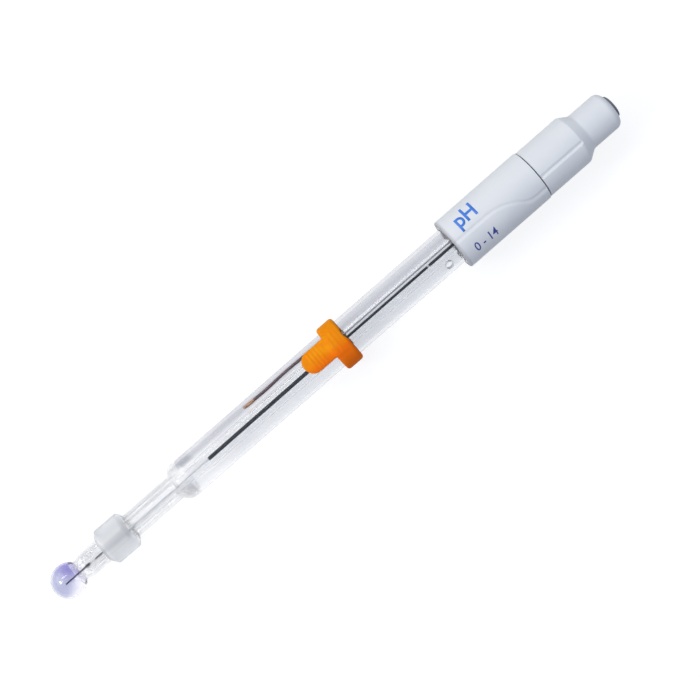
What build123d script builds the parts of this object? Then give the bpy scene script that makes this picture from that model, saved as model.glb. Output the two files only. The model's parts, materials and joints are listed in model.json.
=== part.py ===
# Combination pH electrode with a refillable glass body, lying at rest on a bench. All sizes are in millimetres.
# Stations are measured along the electrode's axis from the tip of the bulb. The axis runs along +X and rises a
# little towards the cap, because the electrode lies on its sleeve and on the rim of its wider cap.
from math import acos, atan2, cos, degrees, radians, sin, sqrt, tan
import os

from build123d import *

# Glass body
SHAFT_DIAMETER = 12.0
JACKET_WALL = 1.0
STEM_DIAMETER = 7.8
STEM_LENGTH = 35.4
SHAFT_LENGTH = 103.0
TUBE_IN_CAP = 13.5
SHOULDER_HOLLOW_RADIUS = 1.0
SHOULDER_ROUND_RADIUS = 3.6
JACKET_END_ROUNDING = 2.9
JACKET_SEAL_LENGTH = 1.8
BULB_DIAMETER = 10.6
BULB_WALL = 0.5
BULB_NECK_SET_IN = 0.6
BULB_NECK_LENGTH = 1.1
STEM_GAP = 0.65
INNER_TUBE_DIAMETER = 5.2
INNER_TUBE_WALL = 0.7
INNER_TUBE_FLARE_START = 5.6
INNER_TUBE_FLARE_LENGTH = 3.7
INNER_TUBE_FLARE_ROUNDING = 2.0
INNER_TUBE_RISE = 4.0
FILL_HOLE_DIAMETER = 2.4
FILL_HOLE_FROM_CAP = 4.6
FILL_HOLE_ANGLE = -41.0
JUNCTION_HOLE_DIAMETER = 1.0

# Junction sleeve
SLEEVE_FROM_SEAL = 8.6
SLEEVE_LENGTH = 9.8
SLEEVE_WALL = 2.05
SLEEVE_END_WALL = 0.6
SLEEVE_CHAMFER_LENGTH = 1.1
SLEEVE_EDGE_RADIUS = 0.3

# Silicone ring with its pull tab
RING_FROM_CAP = 40.2
RING_WIDTH = 5.9
RING_THICKNESS = 1.45
RING_EDGE_RADIUS = 1.0
TAB_LENGTH = 9.3
TAB_WIDTH = 6.6
TAB_THICKNESS = 0.9
TAB_ANGLE = 10.0
TONGUE_HEIGHT = 0.3
TONGUE_EDGE = 1.1
RIB_RADIUS = 0.22
TAB_RIB_FIRST = 3.0
TAB_RIB_PITCH = 1.18
TAB_RIB_COUNT = 4
TONGUE_RIB_FIRST = 1.2
TONGUE_RIB_PITCH = 1.5
TONGUE_RIB_COUNT = 2
NOTCH_WIDTH = 4.0
NOTCH_DEPTH = 0.7
NOTCH_ANGLE = 14.0

# Wires inside
WIRE_DIAMETER = 0.5
WIRE_END_IN_BULB = 3.9
SLEEVING_START_ABOVE_FLARE = 0.1
SLEEVING_DIAMETER = 1.15
SLEEVING_STEP_UNDER_RING = 3.0
SLEEVING_THIN_DIAMETER = 0.8
SLEEVING_BREAK_FROM_CAP = 9.6
SLEEVING_BREAK_LENGTH = 0.6
SLEEVING_UPPER_DIAMETER = 0.9
LEAD_DIAMETER = 1.0
LEAD_FROM_JACKET = 0.3
LEAD_TIP_ABOVE_SHOULDER = 26.7
LEAD_TIP_LENGTH = 3.8
LEAD_TIP_DIAMETER = 1.1
LEAD_STEP_UNDER_RING = 2.0
LEAD_BARE_DIAMETER = 0.4
STOPPER_LENGTH = 8.0
STOPPER_BELOW_TUBE_END = 1.5
PLUG_LENGTH = 6.0

# Caps
CAP_DIAMETER = 16.65
CAP_LENGTH = 30.4
CAP_RIM_RADIUS = 0.6
TUBE_STOP = 0.95
CAP_PANEL_DEPTH = 0.25
PANEL_FLOOR = -3.0
SWEEP_START_HEIGHT = -0.57
SWEEP_DROP = 5.3
SWEEP_STRAIGHT = 11.5
SWEEP_NEAR_RADIUS = 17.5
SWEEP_FAR_RADIUS = 6.4
SEAM_GAP = 0.4
SEAM_DEPTH = 0.7
MOUTH_WALL = 1.8
SPIGOT_LENGTH = 5.5
UPPER_CAP_SET_IN = 0.225
UPPER_CAP_LENGTH = 15.1
UPPER_PANEL_DEPTH = 0.2
UPPER_PANEL_HEIGHT = -2.7
CONE_LENGTH = 3.2
CONE_EDGE_RADIUS = 1.6
CONE_FOOT_RADIUS = 1.8
NECK_DIAMETER = 12.0
NECK_LENGTH = 10.8
NECK_RIM_RADIUS = 2.0
ROUNDED_SHARE = 0.9

# Socket in the neck
SOCKET_BORE = 4.6
SOCKET_WALL = 0.6
SOCKET_FLANGE_THICKNESS = 1.0
SOCKET_DEPTH = 7.5
INSULATOR_LENGTH = 7.5
INSULATOR_DIAMETER = 3.8
CONTACT_DIAMETER = 1.8
CONTACT_BORE = 1.0
CONTACT_BORE_DEPTH = 6.0
SEAL_DIAMETER = 7.2
SEAL_WALL = 0.7
SEAL_SEAT_DEPTH = 1.5
SEAL_PROUD = 0.9
SEAL_EDGE_RADIUS = 0.4

# Clearances
SLIDE_CLEARANCE = 0.05
GLUE_CLEARANCE = 0.05
SPIGOT_CLEARANCE = 0.05
FLANGE_CLEARANCE = 0.2

# Radii
shaft_r = SHAFT_DIAMETER / 2
stem_r = STEM_DIAMETER / 2
jacket_bore_r = shaft_r - JACKET_WALL
stem_bore_r = stem_r - JACKET_WALL
bulb_r = BULB_DIAMETER / 2
bulb_bore_r = bulb_r - BULB_WALL
bulb_neck_r = stem_r - BULB_NECK_SET_IN
inner_stem_r = stem_bore_r - STEM_GAP
inner_stem_bore_r = inner_stem_r - INNER_TUBE_WALL
inner_r = INNER_TUBE_DIAMETER / 2
inner_bore_r = inner_r - INNER_TUBE_WALL
sleeve_bore_r = stem_r + SLIDE_CLEARANCE
sleeve_r = sleeve_bore_r + SLEEVE_WALL
ring_bore_r = shaft_r + SLIDE_CLEARANCE
ring_r = ring_bore_r + RING_THICKNESS
tab_r = ring_bore_r + TAB_THICKNESS
tongue_r = ring_r + TONGUE_HEIGHT
notch_r = (NOTCH_WIDTH**2 / 4 + NOTCH_DEPTH**2) / (2 * NOTCH_DEPTH)
wire_r = WIRE_DIAMETER / 2
lead_r = LEAD_DIAMETER / 2
lead_bare_r = LEAD_BARE_DIAMETER / 2
lead_offset = jacket_bore_r - LEAD_FROM_JACKET - lead_r
cap_r = CAP_DIAMETER / 2
tube_seat_r = shaft_r + GLUE_CLEARANCE
cap_bore_r = tube_seat_r - TUBE_STOP
mouth_r = cap_r - MOUTH_WALL
spigot_r = mouth_r - SPIGOT_CLEARANCE
upper_cap_r = cap_r - UPPER_CAP_SET_IN
neck_r = NECK_DIAMETER / 2
seal_r = SEAL_DIAMETER / 2
neck_rim_r = min(NECK_RIM_RADIUS, ROUNDED_SHARE * (neck_r - seal_r))
socket_bore_r = SOCKET_BORE / 2
socket_r = socket_bore_r + SOCKET_WALL
flange_r = cap_bore_r - FLANGE_CLEARANCE
insulator_r = INSULATOR_DIAMETER / 2

# Stations along the axis
bulb_centre = bulb_r
bulb_neck_start = bulb_centre + sqrt(bulb_r**2 - bulb_neck_r**2)
seal_end = bulb_neck_start + BULB_NECK_LENGTH
sleeve_start = seal_end + SLEEVE_FROM_SEAL
sleeve_end = sleeve_start + SLEEVE_LENGTH
shoulder_start = seal_end + STEM_LENGTH
shoulder_radii = SHOULDER_HOLLOW_RADIUS + SHOULDER_ROUND_RADIUS
shoulder_turn = acos(1 - (shaft_r - stem_r) / shoulder_radii)
shoulder_end = shoulder_start + shoulder_radii * sin(shoulder_turn)
cap_start = shoulder_end + SHAFT_LENGTH
cap_end = cap_start + CAP_LENGTH
tube_end = cap_start + TUBE_IN_CAP
inner_tube_end = tube_end + INNER_TUBE_RISE
flare_start = shoulder_end + INNER_TUBE_FLARE_START
flare_end = flare_start + INNER_TUBE_FLARE_LENGTH
fill_hole = cap_start - FILL_HOLE_FROM_CAP
ring_end = cap_start - RING_FROM_CAP
ring_start = ring_end - RING_WIDTH
tab_tip = ring_start - TAB_LENGTH
sleeving_start = flare_end + SLEEVING_START_ABOVE_FLARE
sleeving_step = ring_start + SLEEVING_STEP_UNDER_RING
sleeving_break = cap_start - SLEEVING_BREAK_FROM_CAP
lead_tip = shoulder_end + LEAD_TIP_ABOVE_SHOULDER
lead_start = lead_tip + LEAD_TIP_LENGTH
lead_step = ring_start + LEAD_STEP_UNDER_RING
stopper_end = tube_end - STOPPER_BELOW_TUBE_END
upper_cap_start = cap_end + SEAM_GAP
cone_start = upper_cap_start + UPPER_CAP_LENGTH
neck_start = cone_start + CONE_LENGTH
neck_end = neck_start + NECK_LENGTH
seal_start = neck_end - SEAL_SEAT_DEPTH
electrode_end = neck_end + SEAL_PROUD
contact_face = seal_start - SOCKET_DEPTH
socket_seat = contact_face - INSULATOR_LENGTH - SOCKET_FLANGE_THICKNESS
socket_back = socket_seat - SOCKET_FLANGE_THICKNESS

# The lie: the sleeve's first full circle and the cap's first full circle both touch the bench
bevel_turn = atan2(SLEEVE_WALL - SLEEVE_END_WALL, SLEEVE_CHAMFER_LENGTH)
sleeve_touch = sleeve_start + SLEEVE_CHAMFER_LENGTH + SLEEVE_EDGE_RADIUS * tan(bevel_turn / 2)
cap_touch = cap_start + CAP_RIM_RADIUS
lie = atan2(cap_r - sleeve_r, cap_touch - sleeve_touch)
tip_z = sleeve_r * cos(lie) - sleeve_touch * sin(lie)
reach_back = bulb_r - bulb_centre * cos(lie)
reach_front = electrode_end * cos(lie) + (seal_r - SEAL_EDGE_RADIUS) * sin(lie)
tip_x = (reach_back - reach_front) / 2
axis_y = CAP_PANEL_DEPTH / 2

# Half section: local x is the station, local y the radius
profile = Plane(origin=(tip_x, axis_y, tip_z), x_dir=(cos(lie), 0, sin(lie)), z_dir=(0, -1, 0))
spin = Axis(profile.origin, profile.x_dir)
FAR = 20.0

os.makedirs("parts", exist_ok=True)


def cross_plane(station):
    """A plane across the axis, seen from the cap: local x is +Y and local y is up."""
    return Plane(origin=profile.from_local_coords((station, 0, 0)), x_dir=(0, 1, 0), z_dir=profile.x_dir)


def radial_plane(station, angle):
    """A plane through the axis at a station that faces outwards, turned by an angle from the top towards +Y."""
    turn = radians(angle)
    outwards = profile.y_dir * cos(turn) + Vector(0, 1, 0) * sin(turn)
    return Plane(origin=profile.from_local_coords((station, 0, 0)), x_dir=profile.x_dir, z_dir=outwards)


def double_bend(start, first_radius, second_radius, turn):
    """Two tangent arcs that leave a line along +x and end parallel to it, first to the left for a positive turn."""
    first = JernArc(start=start, tangent=(1, 0), radius=first_radius, arc_size=turn)
    return JernArc(start=first @ 1, tangent=first % 1, radius=second_radius, arc_size=-turn)


def finish(builder, name):
    """Names a finished piece and writes it."""
    builder.part.label = name
    export_step(builder.part, f"parts/{name}.step")


# Membrane bulb, blown on a short thick neck
bulb_mouth = bulb_centre + sqrt(bulb_bore_r**2 - inner_stem_bore_r**2)
with BuildPart() as ph_bulb:
    with BuildSketch(profile):
        with BuildLine():
            outside = ThreePointArc((0, 0), (bulb_centre, bulb_r), (bulb_neck_start, bulb_neck_r))
            neck = Polyline(
                outside @ 1,
                (seal_end, bulb_neck_r),
                (seal_end, inner_stem_bore_r),
                (bulb_mouth, inner_stem_bore_r),
            )
            inside = ThreePointArc(neck @ 1, (bulb_centre, bulb_bore_r), (BULB_WALL, 0))
            Line(inside @ 1, outside @ 0)
        make_face()
    revolve(axis=spin)
finish(ph_bulb, "ph_bulb")

# Glass jacket: rounded end fused to the bulb's neck, thin stem, shoulder and shaft
shoulder_degrees = degrees(shoulder_turn)
with BuildPart() as outer_tube:
    with BuildSketch(profile):
        with BuildLine():
            end_face = Line((seal_end, inner_stem_r), (seal_end, bulb_neck_r))
            stem_foot = (seal_end + JACKET_END_ROUNDING, stem_r)
            rounding = TangentArc(stem_foot, end_face @ 1, tangent=(-1, 0))
            stem = Line(rounding @ 0, (shoulder_start, stem_r))
            shoulder = double_bend(stem @ 1, SHOULDER_HOLLOW_RADIUS, SHOULDER_ROUND_RADIUS, shoulder_degrees)
            top = Polyline(shoulder @ 1, (tube_end, shaft_r), (tube_end, jacket_bore_r), (shoulder_end, jacket_bore_r))
            stem_bore_end = (shoulder_start, stem_bore_r)
            double_bend(
                stem_bore_end,
                SHOULDER_HOLLOW_RADIUS + JACKET_WALL,
                SHOULDER_ROUND_RADIUS - JACKET_WALL,
                shoulder_degrees,
            )
            seal_inside = seal_end + JACKET_SEAL_LENGTH
            gap = stem_bore_r - inner_stem_r
            bore = Line(stem_bore_end, (seal_inside + gap, stem_bore_r))
            closing = RadiusArc(bore @ 1, (seal_inside, inner_stem_r), gap)
            Line(closing @ 1, end_face @ 0)
        make_face()
    revolve(axis=spin)
    with BuildSketch(radial_plane(fill_hole, FILL_HOLE_ANGLE)):
        Circle(FILL_HOLE_DIAMETER / 2)
    extrude(amount=FAR, mode=Mode.SUBTRACT)
    with BuildSketch(radial_plane((sleeve_start + sleeve_end) / 2, 0)):
        Circle(JUNCTION_HOLE_DIAMETER / 2)
    extrude(amount=FAR, mode=Mode.SUBTRACT)
finish(outer_tube, "outer_tube")

# Inner tube: narrow through the stem, then flared to its full bore
with BuildPart() as inner_tube:
    with BuildSketch(profile):
        with BuildLine():
            Polyline(
                (seal_end, inner_stem_bore_r),
                (seal_end, inner_stem_r),
                (flare_start, inner_stem_r),
                (flare_end, inner_r),
                (inner_tube_end, inner_r),
                (inner_tube_end, inner_bore_r),
                (flare_end, inner_bore_r),
                (flare_start, inner_stem_bore_r),
                close=True,
            )
        make_face()
        fillet(vertices().filter_by_position(Axis.X, flare_start, flare_end), INNER_TUBE_FLARE_ROUNDING)
    revolve(axis=spin)
finish(inner_tube, "inner_tube")

# Junction sleeve: a thick soft collar with bevelled ends that slides on the stem
with BuildPart() as junction_sleeve:
    with BuildSketch(profile):
        with BuildLine():
            bevel_r = sleeve_bore_r + SLEEVE_END_WALL
            Polyline(
                (sleeve_start, sleeve_bore_r),
                (sleeve_start, bevel_r),
                (sleeve_start + SLEEVE_CHAMFER_LENGTH, sleeve_r),
                (sleeve_end - SLEEVE_CHAMFER_LENGTH, sleeve_r),
                (sleeve_end, bevel_r),
                (sleeve_end, sleeve_bore_r),
                close=True,
            )
        make_face()
        fillet(vertices().group_by(Axis.Y)[-1], SLEEVE_EDGE_RADIUS)
    revolve(axis=spin)
finish(junction_sleeve, "junction_sleeve")

# Silicone ring: the tab and its tongue are turned with their ribs, trimmed to the tab's outline, and joined to the
# band, which has a shallow notch in its far edge
tongue_end = ring_end - TONGUE_EDGE
with BuildPart() as fill_ring:
    with BuildSketch(profile):
        with BuildLine():
            Polyline(
                (tab_tip, ring_bore_r),
                (tab_tip, tab_r),
                (ring_start - TONGUE_EDGE, tab_r),
                (ring_start, tongue_r),
                (tongue_end - TONGUE_EDGE, tongue_r),
                (tongue_end, ring_r - RIB_RADIUS),
                (tongue_end, ring_bore_r),
                close=True,
            )
        make_face()
        for rib in range(TAB_RIB_COUNT):
            with Locations((tab_tip + TAB_RIB_FIRST + rib * TAB_RIB_PITCH, tab_r)):
                Circle(RIB_RADIUS)
        for rib in range(TONGUE_RIB_COUNT):
            with Locations((ring_start + TONGUE_RIB_FIRST + rib * TONGUE_RIB_PITCH, tongue_r)):
                Circle(RIB_RADIUS)
    revolve(axis=spin)
    with BuildSketch(radial_plane(0, TAB_ANGLE)):
        half = TAB_WIDTH / 2
        with BuildLine():
            sides = Polyline((tab_tip + half, half), (ring_end, half), (ring_end, -half), (tab_tip + half, -half))
            ThreePointArc(sides @ 0, (tab_tip, 0), sides @ 1)
        make_face()
    extrude(amount=FAR, mode=Mode.INTERSECT)
    with BuildSketch(profile):
        with BuildLine():
            Polyline(
                (ring_start, ring_bore_r),
                (ring_start, ring_r),
                (ring_end, ring_r),
                (ring_end, ring_bore_r),
                close=True,
            )
        make_face()
        fillet(vertices().group_by(Axis.Y)[-1], RING_EDGE_RADIUS)
    revolve(axis=spin)
    with BuildSketch(radial_plane(ring_end - NOTCH_DEPTH + notch_r, NOTCH_ANGLE)):
        Circle(notch_r)
    extrude(amount=FAR, mode=Mode.SUBTRACT)
finish(fill_ring, "fill_ring")

# Silver wire from the middle of the bulb to the back of the centre contact
with BuildPart() as inner_wire:
    with BuildSketch(cross_plane(WIRE_END_IN_BULB)):
        Circle(wire_r)
    extrude(amount=socket_back - WIRE_END_IN_BULB)
finish(inner_wire, "inner_wire")

# Black sleeving on the wire: doubled in the lower half, single above, with a bare break below the cap
with BuildPart() as wire_sleeve_lower:
    with BuildSketch(profile):
        with BuildLine():
            Polyline(
                (sleeving_start, wire_r),
                (sleeving_start, SLEEVING_DIAMETER / 2),
                (sleeving_step, SLEEVING_DIAMETER / 2),
                (sleeving_step, SLEEVING_THIN_DIAMETER / 2),
                (sleeving_break, SLEEVING_THIN_DIAMETER / 2),
                (sleeving_break, wire_r),
                close=True,
            )
        make_face()
    revolve(axis=spin)
finish(wire_sleeve_lower, "wire_sleeve_lower")

upper_sleeving_start = sleeving_break + SLEEVING_BREAK_LENGTH
with BuildPart() as wire_sleeve_upper:
    with BuildSketch(cross_plane(upper_sleeving_start)):
        Circle(SLEEVING_UPPER_DIAMETER / 2)
        Circle(wire_r, mode=Mode.SUBTRACT)
    extrude(amount=socket_back - SOCKET_FLANGE_THICKNESS - upper_sleeving_start)
finish(wire_sleeve_upper, "wire_sleeve_upper")

# Reference lead beside the inner tube: coated up to the ring's place, thin and bare above, with a bare tip
with BuildPart() as reference_wire:
    with BuildSketch(cross_plane(lead_start)):
        with Locations((lead_offset, 0)):
            Circle(lead_r)
    extrude(amount=lead_step - lead_start)
    with BuildSketch(cross_plane(lead_step)):
        with Locations((lead_offset, 0)):
            Circle(lead_bare_r)
    extrude(amount=socket_back - lead_step)
finish(reference_wire, "reference_wire")

with BuildPart() as reference_tip:
    with BuildSketch(cross_plane(lead_tip)):
        with Locations((lead_offset, 0)):
            Circle(LEAD_TIP_DIAMETER / 2)
    extrude(amount=LEAD_TIP_LENGTH)
    fillet(reference_tip.edges().group_by(Axis.X)[0], LEAD_TIP_DIAMETER / 4)
finish(reference_tip, "reference_tip")

# Bung that closes the jacket round the inner tube and the lead
with BuildPart() as tube_stopper:
    with BuildSketch(cross_plane(stopper_end - STOPPER_LENGTH)):
        Circle(jacket_bore_r)
        Circle(inner_r, mode=Mode.SUBTRACT)
        with Locations((lead_offset, 0)):
            Circle(lead_bare_r, mode=Mode.SUBTRACT)
    extrude(amount=STOPPER_LENGTH)
finish(tube_stopper, "tube_stopper")

# Plug that closes the inner tube round the sleeved wire
with BuildPart() as inner_plug:
    with BuildSketch(cross_plane(inner_tube_end - PLUG_LENGTH)):
        Circle(inner_bore_r)
        Circle(SLEEVING_UPPER_DIAMETER / 2, mode=Mode.SUBTRACT)
    extrude(amount=PLUG_LENGTH)
finish(inner_plug, "inner_plug")

# Inset faces of the two caps, as the rings that are cut away
sweep_turn = degrees(acos(1 - SWEEP_DROP / (SWEEP_NEAR_RADIUS + SWEEP_FAR_RADIUS)))
with BuildPart() as lower_panel_cut:
    with BuildSketch(radial_plane(0, 0).offset(PANEL_FLOOR)):
        with BuildLine():
            rim_run = Line((cap_start - FAR, SWEEP_START_HEIGHT), (cap_start + SWEEP_STRAIGHT, SWEEP_START_HEIGHT))
            sweep_end = double_bend(rim_run @ 1, SWEEP_NEAR_RADIUS, SWEEP_FAR_RADIUS, -sweep_turn)
            Polyline(
                sweep_end @ 1,
                (cap_end + FAR, SWEEP_START_HEIGHT - SWEEP_DROP),
                (cap_end + FAR, FAR),
                (cap_start - FAR, FAR),
                rim_run @ 0,
            )
        make_face()
    extrude(amount=FAR)
    with BuildSketch(cross_plane(cap_start)):
        Circle(FAR)
        Circle(cap_r - CAP_PANEL_DEPTH, mode=Mode.SUBTRACT)
    extrude(amount=CAP_LENGTH, mode=Mode.INTERSECT)

with BuildPart() as upper_panel_cut:
    with BuildSketch(radial_plane(0, 0).offset(PANEL_FLOOR)):
        with BuildLine():
            Polyline(
                (cap_end, UPPER_PANEL_HEIGHT),
                (neck_start, UPPER_PANEL_HEIGHT),
                (neck_start, FAR),
                (cap_end, FAR),
                close=True,
            )
        make_face()
    extrude(amount=FAR)
    with BuildSketch(cross_plane(cap_end)):
        Circle(FAR)
        Circle(upper_cap_r - UPPER_PANEL_DEPTH, mode=Mode.SUBTRACT)
    extrude(amount=neck_start - cap_end, mode=Mode.INTERSECT)

# Lower cap: a shell glued on the tube, with a step that stops the tube and a mouth for the upper cap's spigot
with BuildPart() as lower_cap:
    with BuildSketch(profile):
        with BuildLine():
            mouth_floor = upper_cap_start - SPIGOT_LENGTH
            Polyline(
                (cap_start, tube_seat_r),
                (cap_start, cap_r),
                (cap_end, cap_r),
                (cap_end, mouth_r),
                (mouth_floor, mouth_r),
                (mouth_floor, cap_bore_r),
                (tube_end, cap_bore_r),
                (tube_end, tube_seat_r),
                close=True,
            )
        make_face()
        fillet(vertices().group_by(Axis.Y)[-1].sort_by(Axis.X)[0], CAP_RIM_RADIUS)
    revolve(axis=spin)
    add(lower_panel_cut.part, mode=Mode.SUBTRACT)
finish(lower_cap, "lower_cap")

# Gasket in the seam
with BuildPart() as cap_seal:
    with BuildSketch(cross_plane(cap_end)):
        Circle(upper_cap_r - SEAM_DEPTH)
        Circle(spigot_r, mode=Mode.SUBTRACT)
    extrude(amount=SEAM_GAP)
finish(cap_seal, "cap_seal")

# Upper cap: spigot, barrel, cone and neck, bored for the socket
with BuildPart() as upper_cap:
    with BuildSketch(profile):
        with BuildLine():
            spigot_end = upper_cap_start - SPIGOT_LENGTH
            Polyline(
                (spigot_end, cap_bore_r),
                (spigot_end, spigot_r),
                (upper_cap_start, spigot_r),
                (upper_cap_start, upper_cap_r),
                (cone_start, upper_cap_r),
                (neck_start, neck_r),
                (neck_end, neck_r),
                (neck_end, seal_r),
                (seal_start, seal_r),
                (seal_start, socket_r),
                (socket_seat, socket_r),
                (socket_seat, cap_bore_r),
                close=True,
            )
        make_face()
        outer_corners = vertices().filter_by_position(Axis.Y, neck_r, upper_cap_r)
        fillet(outer_corners.filter_by_position(Axis.X, cone_start, cone_start), CONE_EDGE_RADIUS)
        outer_corners = vertices().filter_by_position(Axis.Y, neck_r, upper_cap_r)
        fillet(outer_corners.filter_by_position(Axis.X, neck_start, neck_start), CONE_FOOT_RADIUS)
        outer_corners = vertices().filter_by_position(Axis.Y, neck_r, upper_cap_r)
        fillet(outer_corners.filter_by_position(Axis.X, neck_end, neck_end), neck_rim_r)
    revolve(axis=spin)
    add(upper_panel_cut.part, mode=Mode.SUBTRACT)
finish(upper_cap, "upper_cap")

# Socket: outer contact tube on a flange, insulator, centre contact and the dark ring round the mouth
with BuildPart() as socket_shell:
    with BuildSketch(profile):
        with BuildLine():
            Polyline(
                (socket_back, insulator_r),
                (socket_back, flange_r),
                (socket_seat, flange_r),
                (socket_seat, socket_r),
                (seal_start, socket_r),
                (seal_start, socket_bore_r),
                (contact_face, socket_bore_r),
                (contact_face, insulator_r),
                close=True,
            )
        make_face()
    revolve(axis=spin)
finish(socket_shell, "socket_shell")

with BuildPart() as socket_insulator:
    with BuildSketch(cross_plane(contact_face - INSULATOR_LENGTH)):
        Circle(insulator_r)
        Circle(CONTACT_DIAMETER / 2, mode=Mode.SUBTRACT)
    extrude(amount=INSULATOR_LENGTH)
finish(socket_insulator, "socket_insulator")

with BuildPart() as centre_contact:
    with BuildSketch(cross_plane(socket_back)):
        Circle(CONTACT_DIAMETER / 2)
    extrude(amount=contact_face - socket_back)
    with BuildSketch(cross_plane(contact_face)):
        Circle(CONTACT_BORE / 2)
    extrude(amount=-CONTACT_BORE_DEPTH, mode=Mode.SUBTRACT)
finish(centre_contact, "centre_contact")

with BuildPart() as socket_seal:
    with BuildSketch(profile):
        with BuildLine():
            Polyline(
                (seal_start, seal_r - SEAL_WALL),
                (seal_start, seal_r),
                (electrode_end, seal_r),
                (electrode_end, seal_r - SEAL_WALL),
                close=True,
            )
        make_face()
        fillet(vertices().group_by(Axis.X)[-1].sort_by(Axis.Y)[-1], SEAL_EDGE_RADIUS)
    revolve(axis=spin)
finish(socket_seal, "socket_seal")
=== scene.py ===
import json
from math import acos, asin, ceil, cos, degrees, hypot, pi, radians, sin, sqrt, tan

import bpy
from mathutils import Matrix, Vector


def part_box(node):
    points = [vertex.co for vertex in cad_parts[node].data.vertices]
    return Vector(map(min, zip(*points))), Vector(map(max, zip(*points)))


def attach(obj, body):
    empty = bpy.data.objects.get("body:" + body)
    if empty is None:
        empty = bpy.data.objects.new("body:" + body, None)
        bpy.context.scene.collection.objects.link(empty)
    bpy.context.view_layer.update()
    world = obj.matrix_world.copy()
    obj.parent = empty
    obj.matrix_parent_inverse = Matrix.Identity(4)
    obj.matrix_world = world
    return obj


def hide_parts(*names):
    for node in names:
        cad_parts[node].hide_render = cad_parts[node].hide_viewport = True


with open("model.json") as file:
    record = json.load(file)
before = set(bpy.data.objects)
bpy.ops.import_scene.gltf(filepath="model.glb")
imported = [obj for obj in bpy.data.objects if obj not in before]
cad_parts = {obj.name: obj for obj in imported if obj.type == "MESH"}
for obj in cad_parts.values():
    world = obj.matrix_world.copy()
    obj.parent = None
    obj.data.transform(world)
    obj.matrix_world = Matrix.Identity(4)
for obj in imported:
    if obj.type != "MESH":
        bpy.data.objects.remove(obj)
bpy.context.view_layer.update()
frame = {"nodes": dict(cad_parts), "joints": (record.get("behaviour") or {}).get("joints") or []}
MM = 0.001

# Glass body: the jacket, the inner tube and the bulb, fused in the flame into one piece. The jacket is drawn in at
# its shoulder to a thin stem, the inner tube is closed by the bulb, and the bulb is a thin globe blown of lavender
# pH glass. Stations count along the axis from the bulb's tip, and sides are across it, +Y being the lit one.
slide = next(joint for joint in frame["joints"] if joint["name"] == "fill_ring_slide")
axis = Vector(slide["axis"])
bulb_low, bulb_high = (Vector(corner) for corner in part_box("ph_bulb"))
bulb_r = (bulb_high.y - bulb_low.y) / 2
bulb_middle = Vector((bulb_low.x + bulb_r, (bulb_low.y + bulb_high.y) / 2, (bulb_low.z + bulb_high.z) / 2))
tip = bulb_middle - bulb_r * axis
lying = Matrix.Translation(tip) @ axis.to_track_quat("X", "Z").to_matrix().to_4x4()


def span(node):
    """First and last station, least and greatest radius of a CAD node about the body's axis."""
    stations, radii = [], []
    for vertex in frame["nodes"][node].data.vertices:
        reach = vertex.co - tip
        stations.append(reach.dot(axis))
        radii.append((reach - stations[-1] * axis).length)
    return min(stations), max(stations), min(radii), max(radii)


def arc(middle, radius, first, last, count):
    """Corners along an arc in the half section, as (station, radius, 0), with angles in degrees from the axis."""
    turns = [radians(first + (last - first) * i / count) for i in range(count + 1)]
    return [(middle[0] + radius * cos(turn), middle[1] + radius * sin(turn), 0) for turn in turns]


def rounded(corners):
    """An outline through (station, radius, rounding) corners, with an arc at each corner that has a rounding."""
    points = []
    for here, corner, there in zip([corners[-1], *corners], corners, [*corners[1:], corners[0]]):
        middle = Vector(corner[:2])
        if not corner[2]:
            points.append(tuple(middle))
            continue
        back = (Vector(here[:2]) - middle).normalized()
        ahead = (Vector(there[:2]) - middle).normalized()
        half = back.angle(ahead) / 2
        centre = middle + (back + ahead).normalized() * corner[2] / sin(half)
        start = middle + back * corner[2] / tan(half) - centre
        swing = start.angle_signed(middle + ahead * corner[2] / tan(half) - centre)
        count = max(2, ceil(degrees(abs(swing)) / 8))
        points += [tuple(centre + Matrix.Rotation(-swing * i / count, 2) @ start) for i in range(count + 1)]
    return points


def turned(name, outline, steps=128):
    """A piece turned about the axis: one vertex is drawn along the outline in its half section, and that is spun."""
    bpy.ops.object.select_all(action="DESELECT")
    bpy.ops.mesh.primitive_plane_add(size=MM)
    piece = bpy.context.object
    piece.name = piece.data.name = name
    bpy.ops.object.mode_set(mode="EDIT")
    bpy.ops.mesh.select_mode(type="VERT")
    bpy.ops.mesh.merge(type="CENTER")
    bpy.ops.transform.translate(value=(outline[0][0], 0, outline[0][1]))
    for here, there in zip(outline, outline[1:]):
        bpy.ops.mesh.extrude_region_move(
            TRANSFORM_OT_translate={"value": (there[0] - here[0], 0, there[1] - here[1])}
        )
    weld = 0.001 * MM
    bpy.ops.mesh.select_all(action="SELECT")
    bpy.ops.mesh.remove_doubles(threshold=weld)
    bpy.ops.mesh.spin(steps=steps, angle=2 * pi, center=(0, 0, 0), axis=(1, 0, 0))
    bpy.ops.mesh.select_all(action="SELECT")
    bpy.ops.mesh.remove_doubles(threshold=weld)
    bpy.ops.mesh.normals_make_consistent(inside=False)
    bpy.ops.object.mode_set(mode="OBJECT")
    return piece


def drilled(piece, station, turn, radius, reach):
    """A round hole through one wall at a station, turned by an angle from the top towards +Y."""
    bpy.ops.object.select_all(action="DESELECT")
    bpy.ops.mesh.primitive_cylinder_add(vertices=64, radius=radius, depth=reach)
    drill = bpy.context.object
    outwards = Matrix.Rotation(-radians(turn), 4, "X")
    drill.matrix_world = Matrix.Translation((station, 0, 0)) @ outwards @ Matrix.Translation((0, 0, reach))
    bpy.context.view_layer.objects.active = piece
    hole = piece.modifiers.new("hole", "BOOLEAN")
    hole.object = drill
    hole.solver = "EXACT"
    bpy.ops.object.modifier_apply(modifier=hole.name)
    bpy.data.objects.remove(drill)


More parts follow.
